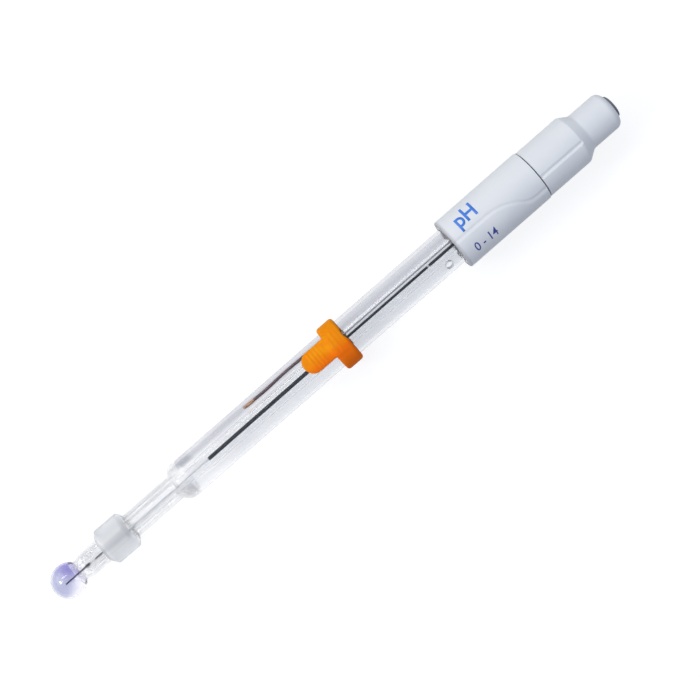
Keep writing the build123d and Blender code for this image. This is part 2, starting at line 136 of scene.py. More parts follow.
def lay_down(piece, finish, body, slot, *nodes):
    """Gives a piece its finish and lays it where the electrode lies, in place of its CAD nodes."""
    bpy.ops.object.select_all(action="DESELECT")
    piece.select_set(True)
    bpy.context.view_layer.objects.active = piece
    piece.matrix_world = lying
    bpy.ops.object.transform_apply(location=True, rotation=True, scale=True)
    bpy.ops.object.shade_smooth_by_angle(angle=radians(32))
    piece.data.materials.clear()
    piece.data.materials.append(finish)
    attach(piece, body)
    if nodes:
        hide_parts(*nodes)


class Shade:
    """A shader socket: arithmetic on it adds Math nodes, and node() adds any other node to its tree."""

    def __init__(self, tree, socket=None):
        self.tree = tree
        self.socket = socket

    def node(self, kind, settings, sockets, output=0):
        made = self.tree.nodes.new("ShaderNode" + kind)
        for name, setting in settings.items():
            setattr(made, name, setting)
        for key, value in sockets.items():
            if isinstance(value, Shade):
                self.tree.links.new(value.socket, made.inputs[key])
            else:
                made.inputs[key].default_value = value
        return Shade(self.tree, made.outputs[output])

    def math(self, operation, *values):
        return self.node("Math", {"operation": operation}, dict(enumerate(values)))

    def __add__(self, other):
        return self.math("ADD", self, other)

    def __sub__(self, other):
        return self.math("SUBTRACT", self, other)

    def __rsub__(self, other):
        return self.math("SUBTRACT", other, self)

    def __mul__(self, other):
        return self.math("MULTIPLY", self, other)

    __radd__ = __add__
    __rmul__ = __mul__

    def along(self, letter):
        """One coordinate of this vector."""
        return self.node("SeparateXYZ", {}, {0: self}, letter)

    def ramp(self, low, high):
        """0 at low, 1 at high and smooth between."""
        settings = {"interpolation_type": "SMOOTHSTEP"}
        return self.node("MapRange", settings, {"Value": self, "From Min": low, "From Max": high})

    def window(self, rise, fall):
        """1 between a rise and a fall, each given by its two ends, and 0 outside them."""
        return self.ramp(*rise) * (1 - self.ramp(*fall))

    def blend(self, first, second):
        """The first colour where this is 0, the second where it is 1."""
        colours = [(*colour, 1) if isinstance(colour, tuple) else colour for colour in (first, second)]
        return self.node("Mix", {"data_type": "RGBA"}, {"Factor": self, 6: colours[0], 7: colours[1]}, 2)

    def noise(self, across, detail=3.0):
        """Noise on this vector, with so many grains to a metre along each axis."""
        stretched = self.node("VectorMath", {"operation": "MULTIPLY"}, {0: self, 1: across})
        return self.node("TexNoise", {}, {"Vector": stretched, "Scale": 1.0, "Detail": detail})

    def bump(self, strength, height):
        """A normal that stands this up by a height."""
        return self.node("Bump", {}, {"Strength": strength, "Distance": height, "Height": self}, "Normal")

    def into(self, shader, socket):
        self.tree.links.new(self.socket, shader.inputs[socket])


def material(name, **constants):
    """A new material, its shader with constants set on its sockets, and the place along the stations as a Shade."""
    made = bpy.data.materials.new(name)
    made.use_nodes = True
    shader = made.node_tree.nodes["Principled BSDF"]
    for socket, value in constants.items():
        shader.inputs[socket.replace("_", " ")].default_value = (*value, 1) if isinstance(value, tuple) else value
    coordinates = Shade(made.node_tree).node("TexCoord", {}, {}, "Object")
    lie = {"Vector": coordinates, "Location": tip, "Rotation": lying.to_euler()}
    return made, shader, coordinates.node("Mapping", {"vector_type": "TEXTURE"}, lie)


def let_lamps_through(made, tint, ground=0.0, ground_colour=(1, 1, 1)):
    """Glass doesn't block the lamps: for their rays it is a clear film of a tint. Where it is ground it is matt."""
    tree = made.node_tree
    lamp_ray = Shade(tree).node("LightPath", {}, {}, "Is Shadow Ray")
    film = lamp_ray.node("BsdfTransparent", {}, {"Color": (*tint, 1)})
    glass = Shade(tree, tree.nodes["Principled BSDF"].outputs[0])
    matt = lamp_ray.node("BsdfDiffuse", {}, {"Color": (*ground_colour, 1)})
    glass = lamp_ray.node("MixShader", {}, {0: ground, 1: glass, 2: matt})
    lamp_ray.node("MixShader", {}, {0: lamp_ray, 1: glass, 2: film}).into(tree.nodes["Material Output"], "Surface")


BULB_WALL = 0.5 * MM
BULB_NECK_R = 3.3 * MM
BULB_NECK_ROUND = 0.6 * MM
JACKET_WALL = 1.0 * MM
STEM_R = 3.9 * MM
STEM_END_LENGTH = 2.9 * MM
SEAL_LENGTH = 1.8 * MM
SHOULDER_START = 45.947 * MM
SHOULDER_HOLLOW = 1.0 * MM
SHOULDER_ROUND = 3.6 * MM
TUBE_END_ROUND = 0.3 * MM
INNER_STEM_R = 2.25 * MM
INNER_WALL = 0.7 * MM
FLARE_START = 55.41 * MM
FLARE_LENGTH = 3.7 * MM
FLARE_ROUND = 2.0 * MM
FILL_HOLE = 148.209 * MM
FILL_HOLE_R = 1.2 * MM
FILL_HOLE_TURN = -41.0
CAP_RIM_AT = 152.809 * MM
JUNCTION_HOLE = 24.047 * MM
JUNCTION_HOLE_R = 0.5 * MM
VIOLET = (0.48, 0.45, 0.77)
NECK_VIOLET = (0.34, 0.29, 0.62)
LAVENDER = (0.72, 0.73, 0.85)
CAUSTIC_LAVENDER = (0.965, 0.96, 0.985)
# Jacket greys, dim glass and shade glass: painted shade for darker surroundings seen through the glass.
GREY_GLASS = (0.765, 0.77, 0.80)
GREY_EDGE = (0.69, 0.695, 0.73)
PALE_GLASS = (0.925, 0.93, 0.94)
DIM_GLASS = (0.80, 0.815, 0.84)
PAINTED_SHADE_GLASS = (0.44, 0.45, 0.49)
CLEAR_GLASS = (0.985, 0.987, 0.99)
GROUND_GLASS = (0.62, 0.65, 0.69)
GROUND_FILM = 0.03 * MM
LAMP_FILM = (0.95, 0.955, 0.965)
CLEARED = 0.6
CLEARED_FROM = 8.6 * MM
CLEARED_TO = 51.0 * MM
BULB_GLOSS = 0.25
BULB_FADE = (9.4 * MM, 10.2 * MM)
VIOLET_FADE = (4.0 * MM, 10.5 * MM)
VIOLET_SHADE_SLANT = 0.5
CAUSTIC_FADE = (4.0 * MM, 8.0 * MM)
CAUSTIC_SLANT = 0.7
NECK_RING = ((8.9 * MM, 9.2 * MM), (9.7 * MM, 10.0 * MM))
SHOULDER_FADE = (44.0 * MM, 50.0 * MM)
SHAFT_FADE = (58.0 * MM, 70.0 * MM)
ABOVE_RING_FADE = (104.0 * MM, 114.0 * MM)
GREY_FROM = 2.7 * MM
GREY_AT_SHOULDER = 0.6 * MM
GREY_ABOVE_RING = -0.75 * MM
GREY_BLUR = 0.3 * MM
GREY_LOST = 0.6
GREY_LOST_FADE = (3.7 * MM, 4.3 * MM)
EDGE_FADE = (4.3 * MM, 5.2 * MM)
EDGE_DIM = 0.75
SHAFT_DIM = 0.32
ABOVE_RING_DIM = 0.36
LOW_PAINTED_SHADE = ((45.6 * MM, 46.4 * MM), (50.2 * MM, 52.2 * MM))
LOW_PAINTED_SHADE_SIDE = (-2.0 * MM, -0.4 * MM)
TOP_PAINTED_SHADE = ((48.6 * MM, 49.8 * MM), (55.0 * MM, 56.2 * MM))
TOP_PAINTED_SHADE_SHARE = 0.35
STEM_PAINTED_SHADE_FADE = (27.0 * MM, 29.0 * MM)
STEM_PAINTED_SHADE_EDGE = (2.4 * MM, 2.9 * MM)
STEM_STREAKS = (0.46, 0.60)
STEM_STREAK_SHARE = 0.6
STEM_END_PAINTED_SHADE = ((10.4 * MM, 11.4 * MM), (18.0 * MM, 19.0 * MM))
STEM_END_PAINTED_SHADE_SHARE = 0.45
INNER_GLASS_FADE = (2.65 * MM, 2.8 * MM)

seal_end = span("ph_bulb")[1]
inner_end, inner_r = span("inner_tube")[1], span("inner_tube")[3]
jacket_end, shaft_r = span("outer_tube")[1], span("outer_tube")[3]
jacket_bore_r = shaft_r - JACKET_WALL
stem_bore_r = STEM_R - JACKET_WALL
inner_bore_r = inner_r - INNER_WALL
inner_stem_bore_r = INNER_STEM_R - INNER_WALL
flare_end = FLARE_START + FLARE_LENGTH
hollow_r = bulb_r - BULB_WALL
hollow_mouth = degrees(asin(inner_stem_bore_r / hollow_r))
neck_reach = bulb_r + BULB_NECK_ROUND
neck_turn = asin((BULB_NECK_R + BULB_NECK_ROUND) / neck_reach)
neck_middle = (bulb_r + neck_reach * cos(neck_turn), neck_reach * sin(neck_turn))
end_drop = STEM_R - BULB_NECK_R
end_r = (STEM_END_LENGTH**2 + end_drop**2) / (2 * end_drop)
end_turn = degrees(asin(STEM_END_LENGTH / end_r))
shoulder_turn = acos(1 - (shaft_r - STEM_R) / (SHOULDER_HOLLOW + SHOULDER_ROUND))
shoulder_end = SHOULDER_START + (SHOULDER_HOLLOW + SHOULDER_ROUND) * sin(shoulder_turn)
lean = tan(shoulder_turn / 2)
inside_hollow = SHOULDER_HOLLOW + JACKET_WALL
inside_round = SHOULDER_ROUND - JACKET_WALL
seal_round = 0.95 * (stem_bore_r - INNER_STEM_R)
glass_body = turned(
    "glass_body",
    rounded(
        [
            *arc((bulb_r, 0), bulb_r, 180, degrees(neck_turn), 56),
            *arc(neck_middle, BULB_NECK_ROUND, 180 + degrees(neck_turn), 270, 8)[1:],
            *arc((seal_end + STEM_END_LENGTH, STEM_R - end_r), end_r, 90 + end_turn, 90, 12),
            (SHOULDER_START + SHOULDER_HOLLOW * lean, STEM_R, SHOULDER_HOLLOW),
            (shoulder_end - SHOULDER_ROUND * lean, shaft_r, SHOULDER_ROUND),
            (FILL_HOLE - 3 * FILL_HOLE_R, shaft_r, 0),
            (FILL_HOLE + 3 * FILL_HOLE_R, shaft_r, 0),
            (jacket_end, shaft_r, TUBE_END_ROUND),
            (jacket_end, jacket_bore_r, TUBE_END_ROUND),
            (FILL_HOLE + 3 * FILL_HOLE_R, jacket_bore_r, 0),
            (FILL_HOLE - 3 * FILL_HOLE_R, jacket_bore_r, 0),
            (shoulder_end - inside_round * lean, jacket_bore_r, inside_round),
            (SHOULDER_START + inside_hollow * lean, stem_bore_r, inside_hollow),
            (seal_end + SEAL_LENGTH, stem_bore_r, seal_round / 2),
            (seal_end + SEAL_LENGTH, INNER_STEM_R, seal_round / 2),
            (FLARE_START, INNER_STEM_R, FLARE_ROUND),
            (flare_end, inner_r, FLARE_ROUND),
            (inner_end, inner_r, TUBE_END_ROUND),
            (inner_end, inner_bore_r, TUBE_END_ROUND),
            (flare_end, inner_bore_r, FLARE_ROUND),
            (FLARE_START, inner_stem_bore_r, FLARE_ROUND),
            *arc((bulb_r, 0), hollow_r, hollow_mouth, 180, 56),
        ]
    ),
)
drilled(glass_body, FILL_HOLE, FILL_HOLE_TURN, FILL_HOLE_R, shaft_r)
drilled(glass_body, JUNCTION_HOLE, 0, JUNCTION_HOLE_R, STEM_R)

glass, shader, place = material(
    "fused_glass", Roughness=0.035, IOR=1.38, Transmission_Weight=1.0, Coat_IOR=1.6, Coat_Roughness=0.2
)
station, side, up = (place.along(letter) for letter in "XYZ")
# Deeper violet towards the neck, and painted shade that deepens it further on the bulb's +Y side.
neck_and_shade_violet = (station + side * VIOLET_SHADE_SLANT).ramp(*VIOLET_FADE)
# Pale on the bulb's side away from the lamps: painted light, the caustic of light focused through the bulb.
painted_caustic = (station * CAUSTIC_SLANT - side).ramp(*CAUSTIC_FADE)
lavender = painted_caustic.blend(neck_and_shade_violet.blend(LAVENDER, VIOLET), CAUSTIC_LAVENDER)
lavender = station.window(*NECK_RING).blend(lavender, NECK_VIOLET)
in_bulb = 1 - station.ramp(*BULB_FADE)
at_shoulder = station.ramp(*SHOULDER_FADE)
on_shaft = station.ramp(*SHAFT_FADE)
above_ring = station.ramp(*ABOVE_RING_FADE)
# Grey over the jacket's +Y side, with less of it far out above the ring: painted shade.
grey_edge = GREY_FROM + at_shoulder * GREY_AT_SHOULDER + above_ring * GREY_ABOVE_RING
grey = (side - grey_edge).ramp(-GREY_BLUR, GREY_BLUR)
grey = grey * (1 - above_ring * side.ramp(*GREY_LOST_FADE) * GREY_LOST)
# Dimmer glass towards the shaft's edges and over its pale side, most just above the ring: painted shade.
edge = (side * side).ramp(EDGE_FADE[0] ** 2, EDGE_FADE[1] ** 2) * on_shaft
dim = edge.math("MAXIMUM", on_shaft * SHAFT_DIM + above_ring * ABOVE_RING_DIM, edge * EDGE_DIM)
jacket_glass = grey.blend(dim.blend(PALE_GLASS, DIM_GLASS), edge.blend(GREY_GLASS, GREY_EDGE))
# Darker streaks and bands in the stem, and a darker top edge: painted shade.
painted_shade_streaks = place.noise((14, 620, 0), 1.0).ramp(*STEM_STREAKS) * STEM_STREAK_SHARE + side.ramp(*STEM_PAINTED_SHADE_EDGE)
stem_painted_shade = station.ramp(*STEM_PAINTED_SHADE_FADE) * (1 - at_shoulder) * painted_shade_streaks
stem_painted_shade = stem_painted_shade + station.window(*STEM_END_PAINTED_SHADE) * STEM_END_PAINTED_SHADE_SHARE
jacket_glass = stem_painted_shade.blend(jacket_glass, PAINTED_SHADE_GLASS)
# Darker patches low and high round the shoulder: painted shade.
low_painted_shade = station.window(*LOW_PAINTED_SHADE) * (1 - side.ramp(*LOW_PAINTED_SHADE_SIDE))
top_painted_shade = station.window(*TOP_PAINTED_SHADE) * grey * TOP_PAINTED_SHADE_SHARE
jacket_glass = (low_painted_shade + top_painted_shade).blend(jacket_glass, PAINTED_SHADE_GLASS)
reach = (side * side + up * up).math("SQRT", side * side + up * up)
clear_glass = reach.ramp(*INNER_GLASS_FADE).blend(CLEAR_GLASS, jacket_glass)
in_bulb.blend(clear_glass, lavender).into(shader, "Base Color")
(in_bulb * BULB_GLOSS).into(shader, "Coat Weight")
in_stem = station.math("GREATER_THAN", station, CLEARED_FROM) * station.math("LESS_THAN", station, CLEARED_TO)
in_cap = station.math("GREATER_THAN", station, CAP_RIM_AT)
(1 - in_stem * CLEARED - in_cap).into(shader, "Alpha")
hole_turn = Matrix.Rotation(-radians(FILL_HOLE_TURN), 3, "X").to_euler()
hole_lie = {"Vector": place, "Location": (FILL_HOLE, 0, 0), "Rotation": hole_turn}
in_hole = place.node("Mapping", {"vector_type": "TEXTURE"}, hole_lie)
across, aside = in_hole.along("X"), in_hole.along("Y")
ground = across.math("LESS_THAN", across * across + aside * aside, (FILL_HOLE_R + GROUND_FILM) ** 2)
ground = ground * across.math("GREATER_THAN", in_hole.along("Z"), inner_r)
place.noise((8, 240, 240), 1.0).bump(0.015, 0.05 * MM).into(shader, "Normal")
let_lamps_through(glass, LAMP_FILM, ground, GROUND_GLASS)
lay_down(glass_body, glass, "electrode", "clear_glass", "ph_bulb", "inner_tube", "outer_tube")

# Silver wire: a thin drawn wire on the axis, from the middle of the bulb to the back of the socket. Its lower end
# is dark with silver chloride, and it is not quite straight where it hangs free in the stem.
WIRE_WANDER = 0.1 * MM
WIRE_LEAN = 0.35 * MM
LEAN_END = 109.709 * MM
BEAD = 12.4 * MM
BEAD_R = 0.6 * MM
BARE_START = 13.2 * MM
BARE_END = 15.0 * MM
BARE_RISE = 0.3 * MM
BARE_FALL = 0.4 * MM
DARK_END = 21.0 * MM
DARK_FADE = 3.0 * MM
SILVER = (0.80, 0.80, 0.82)
TARNISH = (0.62, 0.62, 0.66)
CHLORIDE = (0.055, 0.045, 0.085)
DARK_CHLORIDE = (0.02, 0.018, 0.035)


def wire(name, points):
    """A round wire through (station, side, up, radius) points, with closed ends."""
    bpy.ops.object.select_all(action="DESELECT")
    bpy.ops.curve.primitive_nurbs_path_add()
    piece = bpy.context.object
    spline = piece.data.splines[0]
    spline.points.add(len(points) - len(spline.points))
    for point, (station, side, up, radius) in zip(spline.points, points):
        point.co = (station, side, up, 1)
        point.radius = radius / MM
    spline.order_u = 3
    spline.use_endpoint_u = True
    spline.resolution_u = 8
    piece.data.bevel_depth = MM
    piece.data.bevel_resolution = 5
    piece.data.use_fill_caps = True
    bpy.ops.object.convert(target="MESH")
    bpy.ops.object.mode_set(mode="EDIT")
    bpy.ops.mesh.select_all(action="SELECT")
    bpy.ops.mesh.remove_doubles(threshold=0.001 * MM)
    bpy.ops.mesh.normals_make_consistent(inside=False)
    bpy.ops.object.mode_set(mode="OBJECT")
    piece.name = piece.data.name = name
    return piece


def off_axis(station):
    """How far the wire and its sleeving lean to one side towards their free end."""
    return -WIRE_LEAN * max(0, 1 - station / LEAN_END)


wire_start, wire_end, _, wire_r = span("inner_wire")
wire_bends = (0, 0.6, 0.3, -0.5, 0.6, -0.9, 0.8, -0.4, 0.7, -0.6, 0.3, 0)
wire_step = (FLARE_START - wire_start) / (len(wire_bends) - 1)
wire_points = [(wire_start + wire_step * i, WIRE_WANDER * bend, wire_r) for i, bend in enumerate(wire_bends)]
wire_points += [(BEAD - 2 * BEAD_R, 0, wire_r), (BEAD, 0, BEAD_R), (BEAD + 2 * BEAD_R, 0, wire_r)]
wire_points += [(flare_end, 0, wire_r), (LEAN_END, 0, wire_r), (wire_end, 0, wire_r)]
silver_wire = wire(
    "silver_wire",
    [(station, off_axis(station) + bend, bend / 2, radius) for station, bend, radius in sorted(wire_points)],
)
silver, shader, place = material("drawn_silver", Roughness=0.35)
grain = place.noise((900, 4000, 4000)).ramp(0.35, 0.65)
station = place.along("X")
bare = station.window((BARE_START, BARE_START + BARE_RISE), (BARE_END, BARE_END + BARE_FALL))
drawn = station.ramp(DARK_END - DARK_FADE, DARK_END)
bright = drawn.math("MAXIMUM", bare, drawn)
bright.blend(grain.blend(DARK_CHLORIDE, CHLORIDE), grain.blend(TARNISH, SILVER)).into(shader, "Base Color")
bright.into(shader, "Metallic")
place.noise((200, 9000, 9000)).bump(0.3, 0.01 * MM).into(shader, "Normal")
lay_down(silver_wire, silver, "electrode", "silver_wire", "inner_wire")

# Black sleeving: extruded insulation pushed on the wire, doubled in the lower half of the tube and single above,
# with a short bare break near the cap.
SLEEVING_STEP = LEAN_END
SLEEVING_R = 0.575 * MM
SLEEVING_THIN_R = 0.40 * MM
SLEEVING_ROUND = 0.12 * MM
SLEEVING_FIT = 0.02 * MM
BLACK = (0.007, 0.0075, 0.013)
DUSTY_BLACK = (0.011, 0.012, 0.019)

black, shader, place = material("black_sleeving", Roughness=0.45, Specular_IOR_Level=0.15)
place.noise((400, 2500, 2500)).ramp(0.3, 0.8).blend(BLACK, DUSTY_BLACK).into(shader, "Base Color")
place.noise((150, 5000, 5000)).bump(0.25, 0.02 * MM).into(shader, "Normal")
lower_start, lower_end, _, _ = span("wire_sleeve_lower")
upper_start, upper_end, _, upper_sleeving_r = span("wire_sleeve_upper")
sleeving_bore_r = wire_r + SLEEVING_FIT
lower_sleeving = rounded(
    [
        (lower_start, sleeving_bore_r, 0),
        (lower_start, SLEEVING_R, SLEEVING_ROUND),
        (SLEEVING_STEP, SLEEVING_R, SLEEVING_ROUND),
        (SLEEVING_STEP, SLEEVING_THIN_R, 0),
        (lower_end, SLEEVING_THIN_R, SLEEVING_ROUND),
        (lower_end, sleeving_bore_r, 0),
    ]
)
upper_sleeving = rounded(
    [
        (upper_start, sleeving_bore_r, 0),
        (upper_start, upper_sleeving_r, SLEEVING_ROUND),
        (upper_end, upper_sleeving_r, SLEEVING_ROUND),
        (upper_end, sleeving_bore_r, 0),
    ]
)
for name, outline, node in (
    ("black_sleeving_lower", lower_sleeving, "wire_sleeve_lower"),
    ("black_sleeving_upper", upper_sleeving, "wire_sleeve_upper"),
):
    sleeving = turned(name, [*outline, outline[0]], 32)
    for vertex in sleeving.data.vertices:
        vertex.co.y += off_axis(vertex.co.x)
    lay_down(sleeving, black, "electrode", "black_sleeving", node)

# Reference lead: a wire that hangs beside the inner tube, brown with its coating up to the ring's place, thin and
# bright above, where it crosses over the inner tube. Its tip is bare and coppery.
LEAD_WANDER = 0.28 * MM
LEAD_STEP = 108.709 * MM
LEAD_STEP_TAPER = 0.3 * MM
LEAD_BARE_R = 0.2 * MM
LEAD_SET = 0.1 * MM
LEAD_OVER = 1.15 * MM
LEAD_CLEAR = 0.05 * MM
LEAD_CLIMBS = 1.5 * MM
LEAD_CROSSES = 3.0 * MM
LEAD_SETTLES = 5.0 * MM
LEAD_RISES = (13.0 * MM, 11.5 * MM)
LEAD_LEAVES = 10.0 * MM
LEAD_DROPS = 9.0 * MM
TIP_ROUND = 0.5 * MM
TIP_END = 0.2 * MM
TIP_SEAT = 0.02 * MM
BROWN = (0.14, 0.045, 0.047)
DARK_BROWN = (0.055, 0.02, 0.028)
TINNED = (0.36, 0.36, 0.40)
COPPER = (0.52, 0.22, 0.085)
PALE_COPPER = (0.76, 0.43, 0.22)

lead_low, lead_high = (Vector(corner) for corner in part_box("reference_wire"))
lead_offset = (lead_low.y + lead_high.y) / 2 - tip.y
lead_r = (lead_high.y - lead_low.y) / 2
lead_start, lead_end, _, _ = span("reference_wire")
tip_start = span("reference_tip")[0]
tip_low, tip_high = (Vector(corner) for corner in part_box("reference_tip"))
tip_r = (tip_high.y - tip_low.y) / 2
lead_bends = (0.2, -0.2, 0, 0.4, 0.7, 0.4, 0.1, -0.1, -0.4, -0.9)
lead_pace = (LEAD_STEP - lead_start) / (len(lead_bends) - 1)
lead_side = lead_offset - LEAD_SET
over_tube = sqrt((inner_r + LEAD_BARE_R + LEAD_CLEAR) ** 2 - LEAD_OVER**2)
lead = wire(
    "reference_lead",
    [
        *((lead_start + lead_pace * i, lead_side + LEAD_WANDER * b, 0, lead_r) for i, b in enumerate(lead_bends)),
        (LEAD_STEP + LEAD_STEP_TAPER, lead_side - LEAD_WANDER, 0, LEAD_BARE_R),
        (LEAD_STEP + 2 * LEAD_STEP_TAPER, lead_side - LEAD_WANDER, 0, LEAD_BARE_R),
        (LEAD_STEP + LEAD_CLIMBS, lead_side - LEAD_WANDER, over_tube, LEAD_BARE_R),
        (LEAD_STEP + LEAD_CROSSES, LEAD_OVER, over_tube, LEAD_BARE_R),
        (LEAD_STEP + LEAD_SETTLES, LEAD_OVER, over_tube, LEAD_BARE_R),
        *((jacket_end - back, LEAD_OVER, over_tube, LEAD_BARE_R) for back in LEAD_RISES),
        (jacket_end - LEAD_LEAVES, lead_offset, over_tube, LEAD_BARE_R),
        (jacket_end - LEAD_DROPS, lead_offset, 0, LEAD_BARE_R),
        (jacket_end, lead_offset, 0, LEAD_BARE_R),
        (lead_end, lead_offset, 0, LEAD_BARE_R),
    ],
)
coated, shader, place = material("coated_lead", Roughness=0.45)
blotches = place.noise((250, 900, 900)).ramp(0.35, 0.7).blend(BROWN, DARK_BROWN)
bare = place.along("X").ramp(LEAD_STEP, LEAD_STEP + LEAD_STEP_TAPER)
bare.blend(blotches, TINNED).into(shader, "Base Color")
bare.into(shader, "Metallic")
place.noise((900, 2500, 2500)).bump(0.4, 0.04 * MM).into(shader, "Normal")
lay_down(lead, coated, "electrode", "brown_insulation", "reference_wire")
lead_tip = wire(
    "bare_lead_tip",
    [
        (tip_start, lead_side + LEAD_WANDER, 0, tip_r * 0.8),
        (tip_start + TIP_ROUND, lead_side + LEAD_WANDER * 0.7, 0, tip_r),
        ((tip_start + lead_start) / 2, lead_side + LEAD_WANDER * 0.1, 0, tip_r),
        (lead_start - TIP_END, lead_side, 0, tip_r * 0.95),
        (lead_start - TIP_SEAT, lead_side, 0, lead_r),
    ],
)
copper, shader, place = material("bare_copper", Metallic=0.5, Roughness=0.5)
place.noise((700, 1500, 1500)).ramp(0.35, 0.65).blend(COPPER, PALE_COPPER).into(shader, "Base Color")
place.noise((2500, 2500, 2500)).bump(0.4, 0.04 * MM).into(shader, "Normal")
lay_down(lead_tip, copper, "electrode", "bare_copper", "reference_tip")

# Bungs: moulded grey rubber, one pressed into the top of the jacket round the inner tube and the lead, one into the
# top of the inner tube. The caps hide them, so they keep their CAD form.
GREY_RUBBER = (0.24, 0.245, 0.255)
CHALKY_RUBBER = (0.33, 0.335, 0.345)

rubber, shader, place = material("grey_rubber", Roughness=0.75)
place.noise((500, 500, 500)).blend(GREY_RUBBER, CHALKY_RUBBER).into(shader, "Base Color")
place.noise((3000, 3000, 3000)).bump(0.3, 0.04 * MM).into(shader, "Normal")
for node in ("tube_stopper", "inner_plug"):
    frame["nodes"][node].data.materials.clear()
    frame["nodes"][node].data.materials.append(rubber)

# Junction sleeve: a hazy, soft plastic collar with bevelled ends, moulded in one piece. It grips the stem over the
# junction hole and slides up to free it.
SLEEVE_BEVEL = 1.1 * MM
SLEEVE_END_R = 4.55 * MM
SLEEVE_EDGE = 0.3 * MM
CLEAR_BORE_FADE = (4.1 * MM, 4.3 * MM)
STREAK_SIDES = ((0.8 * MM, 1.3 * MM), (1.8 * MM, 2.3 * MM))
STREAK_STATIONS = ((20.0 * MM, 21.2 * MM), (27.2 * MM, 28.2 * MM))
HAZE_DENSITY = 0.8
HAZE_FILM = (0.85, 0.86, 0.88)
HAZE = (0.86, 0.885, 0.91)
CLEAR_HAZE = (0.93, 0.945, 0.96)
PAINTED_HIGHLIGHT_WHITE = (1.0, 1.0, 1.0)

sleeve_start, sleeve_end, sleeve_bore_r, sleeve_r = span("junction_sleeve")
sleeve_outline = rounded(
    [
        (sleeve_start, sleeve_bore_r, 0),
        (sleeve_start, SLEEVE_END_R, SLEEVE_EDGE / 2),
        (sleeve_start + SLEEVE_BEVEL, sleeve_r, SLEEVE_EDGE),
        (sleeve_end - SLEEVE_BEVEL, sleeve_r, SLEEVE_EDGE),
        (sleeve_end, SLEEVE_END_R, SLEEVE_EDGE / 2),
        (sleeve_end, sleeve_bore_r, 0),
    ]
)
sleeve = turned("junction_collar", [*sleeve_outline, sleeve_outline[0]])
haze, shader, place = material(
    "hazy_plastic", Roughness=0.5, IOR=1.2, Transmission_Weight=0.75, Coat_Weight=0.7, Coat_Roughness=0.22
)
cloud = place.noise((30, 420, 0), 1.0).ramp(0.42, 0.6)
station, side, up = (place.along(letter) for letter in "XYZ")
# Two lighter streaks along the collar, one either side of the axis: painted highlights.
painted_highlight_streak = (side * side).window(*([width**2 for width in widths] for widths in STREAK_SIDES))
painted_highlight_streak = painted_highlight_streak * station.window(*STREAK_STATIONS)
painted_highlight_streak.blend(cloud.blend(HAZE, CLEAR_HAZE), PAINTED_HIGHLIGHT_WHITE).into(shader, "Base Color")
outside = (side * side + up * up).ramp(CLEAR_BORE_FADE[0] ** 2, CLEAR_BORE_FADE[1] ** 2)
(outside * HAZE_DENSITY).into(shader, "Alpha")
place.noise((300, 300, 300)).bump(0.25, 0.15 * MM).into(shader, "Normal")
let_lamps_through(haze, HAZE_FILM)
lay_down(sleeve, haze, "sleeve", "sleeve_plastic", "junction_sleeve")

# Fill ring: orange silicone, a band with a pull tab whose tongue runs over it, moulded in one piece with low ribs
# for the finger. It is stretched over the shaft and closes the fill hole when it is slid up.
BAND_WIDTH = 5.9 * MM
BAND_THICKNESS = 1.45 * MM
BAND_ROUND = 1.0 * MM
TAB_WIDTH = 6.6 * MM
TAB_THICKNESS = 0.9 * MM
TAB_TURN = 10.0
TONGUE_HEIGHT = 0.1 * MM
TONGUE_EDGE = 1.1 * MM
RIB_R = 0.35 * MM
RIB_SUNK = 0.2 * MM
TAB_RIBS = [3.0 * MM + 1.18 * MM * i for i in range(4)]
TONGUE_RIBS = [1.2 * MM + 1.5 * MM * i for i in range(2)]
RIB_SHARE = 0.88
TONGUE_RIB_SHARE = 0.9
NOTCH_WIDTH = 4.0 * MM
NOTCH_DEPTH = 0.5 * MM
NOTCH_TURN = 14.0
GRAIN = 0.12 * MM
SOFTENING = 30
LOW_SIDE_SHADE_FADE = (-2.0 * MM, 1.5 * MM)
ORANGE = (0.93, 0.315, 0.001)
DEEP_ORANGE = (0.88, 0.265, 0.001)
SHADED_RED_ORANGE = (1.0, 0.19, 0.003)

tab_tip, band_end, band_bore_r, _ = span("fill_ring")
band_start = band_end - BAND_WIDTH
band_r = band_bore_r + BAND_THICKNESS
band_outline = rounded(
    [
        (band_start, band_bore_r, 0),
        (band_start, band_r, BAND_ROUND),
        (band_end, band_r, BAND_ROUND),
        (band_end, band_bore_r, 0),
    ]
)
fill_ring = turned("fill_ring_band", [*band_outline, band_outline[0]])
notch_r = (NOTCH_WIDTH**2 / 4 + NOTCH_DEPTH**2) / (2 * NOTCH_DEPTH)
drilled(fill_ring, band_end - NOTCH_DEPTH + notch_r, NOTCH_TURN, notch_r, band_r)


def sliced(piece, width, count):
    """Cuts a flat piece across so that it can be wrapped round the shaft."""
    bpy.ops.object.mode_set(mode="EDIT")
    for i in range(1, count):
        bpy.ops.mesh.select_all(action="SELECT")
        bpy.ops.mesh.bisect(plane_co=(0, width * (i / count - 0.5), 0), plane_no=(0, 1, 0))
    bpy.ops.object.mode_set(mode="OBJECT")
    return piece


def disc(station, width, thickness):
    """A flat round disc, for the tip of the tab."""
    bpy.ops.object.select_all(action="DESELECT")
    bpy.ops.mesh.primitive_cylinder_add(vertices=96, radius=width / 2, depth=thickness)
    piece = bpy.context.object
    piece.location = (station, 0, thickness / 2)
    bpy.ops.object.transform_apply(location=True, rotation=True, scale=True)
    return sliced(piece, width, 24)


